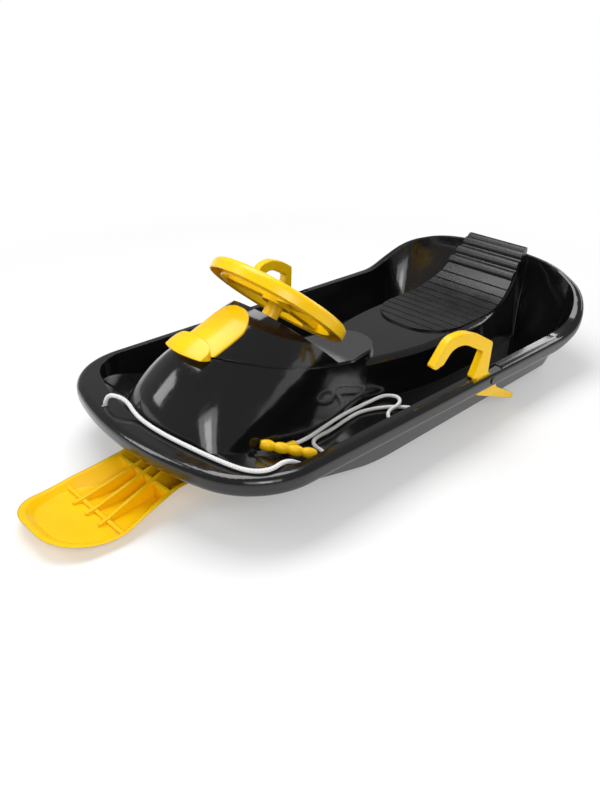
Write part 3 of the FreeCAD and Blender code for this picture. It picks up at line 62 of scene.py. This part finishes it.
# Light: how bright the surroundings are as light, and the softboxes with their name, place, aim,
# width and height in metres, and watts
WORLD_LIGHT = 0.3
SOFTBOXES = (
    ("top", (-0.4, 0.0, 1.7), (0, 0, 0.1), (1.5, 1.0), 24),
    ("key", (-1.2, -1.6, 1.25), (0, 0, 0.15), (0.6, 1.1), 10),
    ("fill", (1.75, -1.0, 1.25), (0, 0, 0.1), (1.5, 1.1), 13),
    ("fill_core", (1.65, -0.95, 1.2), (0, 0, 0.1), (0.5, 0.7), 5),
    ("back", (0.2, 2.1, 1.0), (0, 0.2, 0.15), (2.0, 0.4), 9),
)

# Floor: how white it shows by itself near the sled, and where it turns to plain white
FLOOR_SIZE = 40
FLOOR_GLOW = 0.3
FLOOR_NEAR = 0.6
FLOOR_FAR = 1.3

# Colours: pairs are the two ends of a material's variation
WHITE = (1, 1, 1, 1)
FLOOR_COLOUR = (0.93, 0.93, 0.93, 1)
HULL_COLOURS = ((0.003, 0.003, 0.0035, 1), (0.006, 0.006, 0.0065, 1))
# Lighter black of the satin deck: a painted sheen
DECK_PAINTED_SHEEN_COLOUR = (0.03, 0.03, 0.032, 1)
SEAT_COLOURS = ((0.005, 0.005, 0.0055, 1), (0.011, 0.011, 0.012, 1))
YELLOW_COLOURS = ((0.97, 0.57, 0.0015, 1), (1.0, 0.61, 0.002, 1))
STEEL_COLOURS = ((0.50, 0.50, 0.51, 1), (0.66, 0.66, 0.68, 1))
BEARING_COLOURS = ((0.06, 0.06, 0.065, 1), (0.10, 0.10, 0.105, 1))
CORD_COLOURS = ((0.97, 0.965, 0.955, 1), (0.92, 0.915, 0.9, 1))
# Painted shade that the rope takes where it lies deep between its strands
PAINTED_GROOVE_SHADE = (0.62, 0.61, 0.59, 1)

# Satin deck behind the wheel, with a painted sheen in its lighter colour: where it is, and how much
# rougher than the hull
DECK_LEVEL = 0.110
DECK_HALF_WIDTH = 0.066
DECK_FRONT = -0.03
DECK_REAR = 0.117
DECK_FADE = 0.002
DECK_ROUGHNESS = 0.28

# Rope, in metres: from its tail under the nose flange to its end in the finger grip
ROPE_DIAMETER = 0.007
ROPE_ROUTE = (
    (-0.088, -0.383, 0.0975),
    (-0.088, -0.383, 0.1386),
    (-0.051, -0.3655, 0.1386),
    (-0.018, -0.37, 0.1231),
    (0.04, -0.371, 0.1224),
    (0.104, -0.363, 0.1222),
    (0.164, -0.353, 0.122),
    (0.207, -0.341, 0.1216),
    (0.228, -0.318, 0.1221),
    (0.222, -0.284, 0.1204),
    (0.214, -0.253, 0.0976),
    (0.21, -0.222, 0.0706),
    (0.203, -0.186, 0.0556),
    (0.17, -0.151, 0.0461),
    (0.134, -0.147, 0.0436),
    (0.112, -0.117, 0.0336),
    (0.101, -0.066, 0.0222),
    (0.091, -0.014, 0.0202),
    (0.092, 0.024, 0.0202),
    (0.116, 0.07, 0.0202),
    (0.154, 0.1, 0.0202),
    (0.184, 0.076, 0.0202),
    (0.174, 0.04, 0.0202),
    (0.145, 0.031, 0.0202),
    (0.124, 0.05, 0.0211),
    (0.131, 0.077, 0.0281),
    (0.111, 0.097, 0.0276),
    (0.084, 0.088, 0.0236),
    (0.081, 0.048, 0.0226),
    (0.088, -0.02, 0.0306),
    (0.1, -0.07, 0.0372),
    (0.113, -0.122, 0.0426),
    (0.127, -0.164, 0.0536),
    (0.137, -0.196, 0.0651),
)
ROUTE_RESOLUTION = 24

# Braid of the rope: CROSSING_RISE is how much strands stand up where they cross
BRAID_PITCH = 0.020
BRAID_STRANDS = 4
BRAID_DEPTH = 0.0012
BRAID_SIDES = 24
BRAID_STEP = 0.0009
CROSSING_RISE = 0.25

# Stopper knot under the nose flange
KNOT_SIZE = 0.001584
KNOT_RISE = 1.4
KNOT_STRAND = 0.0023
KNOT_STEPS = 160
KNOT_SIDES = 10


def set_inputs(tree, node, inputs):
    """Gives a node's inputs their values or links, by name or number."""
    for name, value in inputs.items():
        if isinstance(value, bpy.types.NodeSocket):
            tree.links.new(value, node.inputs[name])
        else:
            node.inputs[name].default_value = value


def add_node(tree, kind, inputs, **settings):
    """A new shader node with these inputs and settings."""
    made = tree.nodes.new("ShaderNode" + kind)
    for name, value in settings.items():
        setattr(made, name, value)
    set_inputs(tree, made, inputs)
    return made


def place_on_object(tree):
    """Coordinates in the sled's own frame."""
    return add_node(tree, "TexCoord", {}).outputs["Object"]


def noise(tree, scale, detail=3.0, stretch=(1, 1, 1)):
    """Noise in the sled's own frame, squeezed along its axes."""
    mapping = add_node(tree, "Mapping", {"Vector": place_on_object(tree), "Scale": stretch})
    inputs = {"Vector": mapping.outputs["Vector"], "Scale": scale, "Detail": detail}
    return add_node(tree, "TexNoise", inputs).outputs["Fac"]


def cells(tree, scale):
    """Distance to the nearest cell centre, for a moulded grain."""
    inputs = {"Vector": place_on_object(tree), "Scale": scale}
    return add_node(tree, "TexVoronoi", inputs).outputs["Distance"]


def span(tree, value, low, high, start=0.35, end=0.65):
    """Takes a value's range from start to end onto low to high."""
    inputs = {"Value": value, "From Min": start, "From Max": end, "To Min": low, "To Max": high}
    return add_node(tree, "MapRange", inputs).outputs["Result"]


def calculate(tree, operation, *values):
    """One step of arithmetic."""
    return add_node(tree, "Math", dict(enumerate(values)), operation=operation).outputs[0]


def blend_colours(tree, share, first, second):
    """Goes from the first colour to the second with the share."""
    inputs = {"Factor": share, "A": first, "B": second}
    return add_node(tree, "Mix", inputs, data_type="RGBA").outputs["Result"]


def vary(tree, value, colours):
    """A colour that varies between two with the value."""
    return blend_colours(tree, span(tree, value, 0, 1), *colours)


def bump(tree, height, distance, normal=None):
    """Normals tilted by a height."""
    inputs = {"Height": height, "Distance": distance, "Strength": 1.0}
    if normal:
        inputs["Normal"] = normal
    return add_node(tree, "Bump", inputs).outputs["Normal"]


def soft_edges(tree, radius):
    """Normals that round off sharp moulded edges."""
    return add_node(tree, "Bevel", {"Radius": radius}, samples=4).outputs["Normal"]


def new_material(name):
    """A new material with its node tree and its shader."""
    material = bpy.data.materials.new(name)
    material.use_nodes = True
    return material, material.node_tree, material.node_tree.nodes["Principled BSDF"]


def on_deck(tree):
    """1 on the flat deck behind the wheel, 0 elsewhere on the sled."""
    parts = add_node(tree, "SeparateXYZ", {0: place_on_object(tree)}).outputs
    across = calculate(tree, "ABSOLUTE", parts["X"])
    bottom = DECK_LEVEL - DECK_FADE
    top = DECK_LEVEL + DECK_FADE
    inside = span(tree, across, 1, 0, DECK_HALF_WIDTH, DECK_HALF_WIDTH + DECK_FADE)
    limits = (
        span(tree, parts["Y"], 0, 1, DECK_FRONT - DECK_FADE, DECK_FRONT),
        span(tree, parts["Y"], 1, 0, DECK_REAR, DECK_REAR + DECK_FADE),
        span(tree, parts["Z"], 0, 1, bottom, bottom + DECK_FADE / 2),
        span(tree, parts["Z"], 1, 0, top - DECK_FADE / 2, top),
    )
    for limit in limits:
        inside = calculate(tree, "MULTIPLY", inside, limit)
    return inside


def gloss_black():
    """Deep black moulded plastic: flow marks, fine scuffs, a slightly wavy gloss, and a satin deck
    painted lighter as a painted sheen.
    """
    material, tree, shader = new_material("gloss_black")
    flow = noise(tree, scale=9.0, detail=4.0, stretch=(1, 0.35, 1))
    scuffs = noise(tree, scale=160.0, detail=5.0, stretch=(1, 0.12, 1))
    peel = noise(tree, scale=420.0, detail=2.0)
    deck = on_deck(tree)
    rougher = calculate(tree, "MULTIPLY", deck, DECK_ROUGHNESS)
    wavy = bump(tree, flow, distance=0.0012, normal=soft_edges(tree, radius=0.0015))
    set_inputs(tree, shader, {
        # The deck's lighter colour is a painted sheen; its added roughness is its real satin finish
        "Base Color": blend_colours(tree, deck, vary(tree, flow, HULL_COLOURS), DECK_PAINTED_SHEEN_COLOUR),
        "Roughness": calculate(tree, "ADD", rougher, span(tree, scuffs, low=0.09, high=0.17)),
        "Normal": bump(tree, peel, distance=0.00002, normal=wavy),
        "IOR": 1.5,
        "Coat Weight": 0.25,
        "Coat Roughness": 0.06,
    })
    return material


def satin_black():
    """Grained black plastic of the seat panel, glossier in patches."""
    material, tree, shader = new_material("satin_black")
    grain = cells(tree, scale=900.0)
    patches = noise(tree, scale=22.0, detail=4.0)
    set_inputs(tree, shader, {
        "Base Color": vary(tree, patches, SEAT_COLOURS),
        "Roughness": span(tree, patches, low=0.22, high=0.34),
        "Normal": bump(tree, grain, distance=0.00012, normal=soft_edges(tree, radius=0.0012)),
    })
    return material


def yellow_plastic():
    """Warm yellow moulded plastic, semi-gloss, a little deeper in places, with fine scuffs."""
    material, tree, shader = new_material("yellow_plastic")
    clouds = noise(tree, scale=14.0, detail=4.0)
    scuffs = noise(tree, scale=700.0, detail=4.0)
    peel = noise(tree, scale=600.0, detail=2.0)
    set_inputs(tree, shader, {
        "Base Color": vary(tree, clouds, YELLOW_COLOURS),
        "Roughness": span(tree, scuffs, low=0.2, high=0.3),
        "Normal": bump(tree, peel, distance=0.00003, normal=soft_edges(tree, radius=0.0026)),
        "Subsurface Weight": 0.06,
        "Subsurface Radius": (0.006, 0.003, 0.001),
        "Subsurface Scale": 1.0,
        "Specular IOR Level": 0.36,
    })
    return material


def plated_steel():
    """Bright plated steel with fine turning marks."""
    material, tree, shader = new_material("plated_steel")
    marks = noise(tree, scale=900.0, detail=4.0, stretch=(1, 1, 0.1))
    tarnish = noise(tree, scale=60.0)
    set_inputs(tree, shader, {
        "Base Color": vary(tree, tarnish, STEEL_COLOURS),
        "Roughness": span(tree, marks, low=0.22, high=0.38),
        "Normal": bump(tree, marks, distance=0.00003, normal=soft_edges(tree, radius=0.0004)),
        "Metallic": 1.0,
    })
    return material


def bearing_plastic():
    """Dark grey bearing plastic, matt and slightly mottled."""
    material, tree, shader = new_material("bearing_plastic")
    mottle = noise(tree, scale=45.0, detail=5.0)
    grain = cells(tree, scale=700.0)
    set_inputs(tree, shader, {
        "Base Color": vary(tree, mottle, BEARING_COLOURS),
        "Roughness": span(tree, mottle, low=0.45, high=0.6),
        "Normal": bump(tree, grain, distance=0.0001, normal=soft_edges(tree, radius=0.0008)),
    })
    return material


def white_cord():
    """White braided fibre, slightly grubby here and there, with painted shade between the strands."""
    material, tree, shader = new_material("white_cord")
    grubby = noise(tree, scale=55.0, detail=4.0)
    fibres = noise(tree, scale=2600.0)
    groove = add_node(tree, "Attribute", {}, attribute_name="groove").outputs["Fac"]
    # Painted shade: the deeper a point lies between the strands, the more it takes the darker groove
    # colour
    shade = span(tree, groove, low=0, high=1, start=0.1, end=0.6)
    set_inputs(tree, shader, {
        "Base Color": blend_colours(tree, shade, vary(tree, grubby, CORD_COLOURS), PAINTED_GROOVE_SHADE),
        "Roughness": span(tree, fibres, low=0.7, high=0.95),
        "Normal": bump(tree, fibres, distance=0.00025),
        "Sheen Weight": 0.3,
        "Sheen Roughness": 0.5,
    })
    return material


def dress(names, material):
    """Gives these CAD nodes their material."""
    for name in names:
        for slot in frame["nodes"][name].material_slots:
            slot.material = material


def new_mesh(name, points, faces):
    """A new smooth mesh object."""
    mesh = bpy.data.meshes.new(name)
    mesh.from_pydata(points, [], faces)
    mesh.shade_smooth()
    made = bpy.data.objects.new(name, mesh)
    scene.collection.objects.link(made)
    return made


def spline_points(route):
    """Points along the NURBS spline that has the route as its control points."""
    data = bpy.data.curves.new("route", "CURVE")
    data.dimensions = "3D"
    data.resolution_u = ROUTE_RESOLUTION
    spline = data.splines.new("NURBS")
    spline.points.add(len(route) - 1)
    for point, place in zip(spline.points, route):
        point.co = place + (1,)
    spline.order_u = 3
    spline.use_endpoint_u = True
    holder = bpy.data.objects.new("route", data)
    scene.collection.objects.link(holder)
    depsgraph = bpy.context.evaluated_depsgraph_get()
    mesh = bpy.data.meshes.new_from_object(holder.evaluated_get(depsgraph))
    points = [vertex.co.copy() for vertex in mesh.vertices]
    bpy.data.objects.remove(holder)
    bpy.data.meshes.remove(mesh)
    return points


def evenly(points, step):
    """The same line with points at even distances."""
    lengths = [0.0]
    for first, second in zip(points, points[1:]):
        lengths.append(lengths[-1] + (second - first).length)
    count = round(lengths[-1] / step)
    line = []
    index = 0
    for number in range(count + 1):
        wanted = lengths[-1] * number / count
        while index < len(points) - 2 and lengths[index + 1] < wanted:
            index += 1
        share = (wanted - lengths[index]) / (lengths[index + 1] - lengths[index])
        line.append(points[index].lerp(points[index + 1], share))
    return line


def frames_along(line):
    """Each point of an open line with two crossways directions, carried along without twisting."""
    frames = []
    side = None
    for index, point in enumerate(line):
        ahead = line[min(index + 1, len(line) - 1)] - line[max(index - 1, 0)]
        tangent = ahead.normalized()
        if side is None:
            side = tangent.orthogonal()
        side = (side - tangent * side.dot(tangent)).normalized()
        frames.append((point, side, tangent.cross(side)))
    return frames


def tube(name, frames, sides, radius_at, closed):
    """A skin round the frames, with its radius given by the ring and the angle."""
    points = []
    for ring, (centre, side, up) in enumerate(frames):
        for step in range(sides):
            angle = 2 * math.pi * step / sides
            reach = radius_at(ring, angle)
            points.append(centre + (side * math.cos(angle) + up * math.sin(angle)) * reach)
    faces = []
    rings = len(frames)
    for ring in range(rings if closed else rings - 1):
        base = ring * sides
        ahead = (ring + 1) % rings * sides
        for step in range(sides):
            after = (step + 1) % sides
            faces.append((base + step, base + after, ahead + after, ahead + step))
    if not closed:
        faces.append(tuple(reversed(range(sides))))
        faces.append(tuple(range((rings - 1) * sides, rings * sides)))
    return new_mesh(name, points, faces)


def braid_radius(ring, angle):
    """Outer radius of a round braid: strands that wind both ways and pass over and under."""
    along = 2 * math.pi * ring * BRAID_STEP / BRAID_PITCH
    right = math.sin(BRAID_STRANDS / 2 * (angle + along))
    left = math.sin(BRAID_STRANDS / 2 * (angle - along))
    crest = max(abs(right), abs(left)) + CROSSING_RISE * abs(right * left)
    return ROPE_DIAMETER / 2 - BRAID_DEPTH * (1 + CROSSING_RISE - crest)


def mark_grooves(rope, rings):
    """Keeps on each point how deep it lies between the strands, as a share of the braid's depth."""
    depths = rope.data.attributes.new("groove", "FLOAT", "POINT")
    for index in range(rings * BRAID_SIDES):
        ring, step = divmod(index, BRAID_SIDES)
        reach = braid_radius(ring, 2 * math.pi * step / BRAID_SIDES)
        depths.data[index].value = (ROPE_DIAMETER / 2 - reach) / BRAID_DEPTH


def tow_rope():
    """The braided rope, and the line that it follows."""
    line = evenly(spline_points(ROPE_ROUTE), BRAID_STEP)
    rope = tube("tow_rope_braid", frames_along(line), BRAID_SIDES, braid_radius, False)
    mark_grooves(rope, len(line))
    return rope, line


def stopper_knot():
    """An overhand knot drawn tight round the rope's tail, under the nose flange."""
    low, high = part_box("rope_knot")
    centre = (Vector(low) + Vector(high)) / 2
    line = []
    for step in range(KNOT_STEPS):
        turn = 2 * math.pi * step / KNOT_STEPS
        across = math.sin(turn) + 2 * math.sin(2 * turn)
        along = math.cos(turn) - 2 * math.cos(2 * turn)
        rise = -math.sin(3 * turn) * KNOT_RISE
        line.append(centre + Vector((across, along, rise)) * KNOT_SIZE)
    frames = []
    for index, point in enumerate(line):
        tangent = (line[(index + 1) % KNOT_STEPS] - line[index - 1]).normalized()
        side = tangent.cross(Vector((0, 0, 1))).normalized()
        frames.append((point, side, tangent.cross(side)))
    return tube("rope_knot_tied", frames, KNOT_SIDES, lambda ring, angle: KNOT_STRAND, True)


def mix_surfaces(tree, share, first, second, output):
    """Shows the first shader or the second, by the share, on the tree's output."""
    inputs = {0: share, 1: first.outputs[0], 2: second.outputs[0]}
    mixed = add_node(tree, "MixShader", inputs)
    tree.links.new(mixed.outputs[0], tree.nodes[output].inputs["Surface"])


def floor():
    """Pale floor that keeps the sled's soft shadow, and shows as white beyond it."""
    bpy.ops.mesh.primitive_plane_add(size=FLOOR_SIZE)
    plane = bpy.context.object
    plane.name = "floor"
    material, tree, shader = new_material("floor_white")
    set_inputs(tree, shader, {
        "Base Color": FLOOR_COLOUR,
        "Roughness": 0.9,
        "Specular IOR Level": 0.0,
    })
    glow = add_node(tree, "Emission", {"Color": WHITE, "Strength": 1.0})
    path = add_node(tree, "LightPath", {}).outputs
    seen = calculate(tree, "MAXIMUM", path["Is Camera Ray"], path["Is Glossy Ray"])
    seen = calculate(tree, "MAXIMUM", seen, path["Is Transmission Ray"])
    away = add_node(tree, "VectorMath", {0: place_on_object(tree)}, operation="LENGTH")
    fade = span(tree, away.outputs["Value"], FLOOR_GLOW, 1.0, FLOOR_NEAR, FLOOR_FAR)
    share = calculate(tree, "MULTIPLY", seen, fade)
    mix_surfaces(tree, share, shader, glow, "Material Output")
    plane.data.materials.append(material)


def world(strength):
    """White surroundings: full white to the eye, dimmer as light."""
    made = bpy.data.worlds.new("studio")
    made.use_nodes = True
    tree = made.node_tree
    seen = add_node(tree, "LightPath", {}).outputs["Is Camera Ray"]
    light = tree.nodes["Background"]
    set_inputs(tree, light, {"Color": WHITE, "Strength": strength})
    white = add_node(tree, "Background", {"Color": WHITE, "Strength": 1.0})
    mix_surfaces(tree, seen, light, white, "World Output")
    scene.world = made


def softbox(name, place, aim, size, power):
    """A rectangular area lamp that points at aim."""
    data = bpy.data.lights.new(name, "AREA")
    data.shape = "RECTANGLE"
    data.size, data.size_y = size
    data.energy = power
    lamp = bpy.data.objects.new(name, data)
    lamp.location = place
    lamp.rotation_euler = (Vector(place) - Vector(aim)).to_track_quat("Z", "Y").to_euler()
    scene.collection.objects.link(lamp)


def camera():
    """The camera at the photograph's angle."""
    azimuth = math.radians(CAMERA_AZIMUTH)
    elevation = math.radians(CAMERA_ELEVATION)
    flat = math.cos(elevation)
    back = Vector((math.sin(azimuth) * flat, -math.cos(azimuth) * flat, math.sin(elevation)))
    data = bpy.data.cameras.new("camera")
    data.sensor_width = SENSOR
    data.sensor_fit = "AUTO"
    data.lens = LENS
    made = bpy.data.objects.new("camera", data)
    made.location = Vector(CAMERA_TARGET) + back * CAMERA_DISTANCE
    made.rotation_euler = back.to_track_quat("Z", "Y").to_euler()
    scene.collection.objects.link(made)
    scene.camera = made


camera()
floor()
world(WORLD_LIGHT)
for lamp in SOFTBOXES:
    softbox(*lamp)
scene.view_settings.view_transform = "Standard"

yellow = yellow_plastic()
steel = plated_steel()
dress(("hull", "cowl", "brake_pin_left", "brake_pin_right"), gloss_black())
dress(("seat_pad",), satin_black())
dress(("windscreen_trim", "steering_wheel", "wheel_cap", "steering_ski", "tow_handle"), yellow)
dress(("brake_lever_left", "brake_lever_right"), yellow)
dress(("seat_screws", "cowl_screws", "column_screws", "ski_bolt", "ski_nut"), steel)
dress(("wheel_nut", "wheel_washer", "steering_shaft"), steel)
dress(("upper_bush", "steering_column"), bearing_plastic())

cord = white_cord()
rope, rope_line = tow_rope()
knot = stopper_knot()
for piece, node in ((rope, "tow_rope"), (knot, "rope_knot")):
    piece.data.materials.append(cord)
    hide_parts(node)
    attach(piece, "sled")
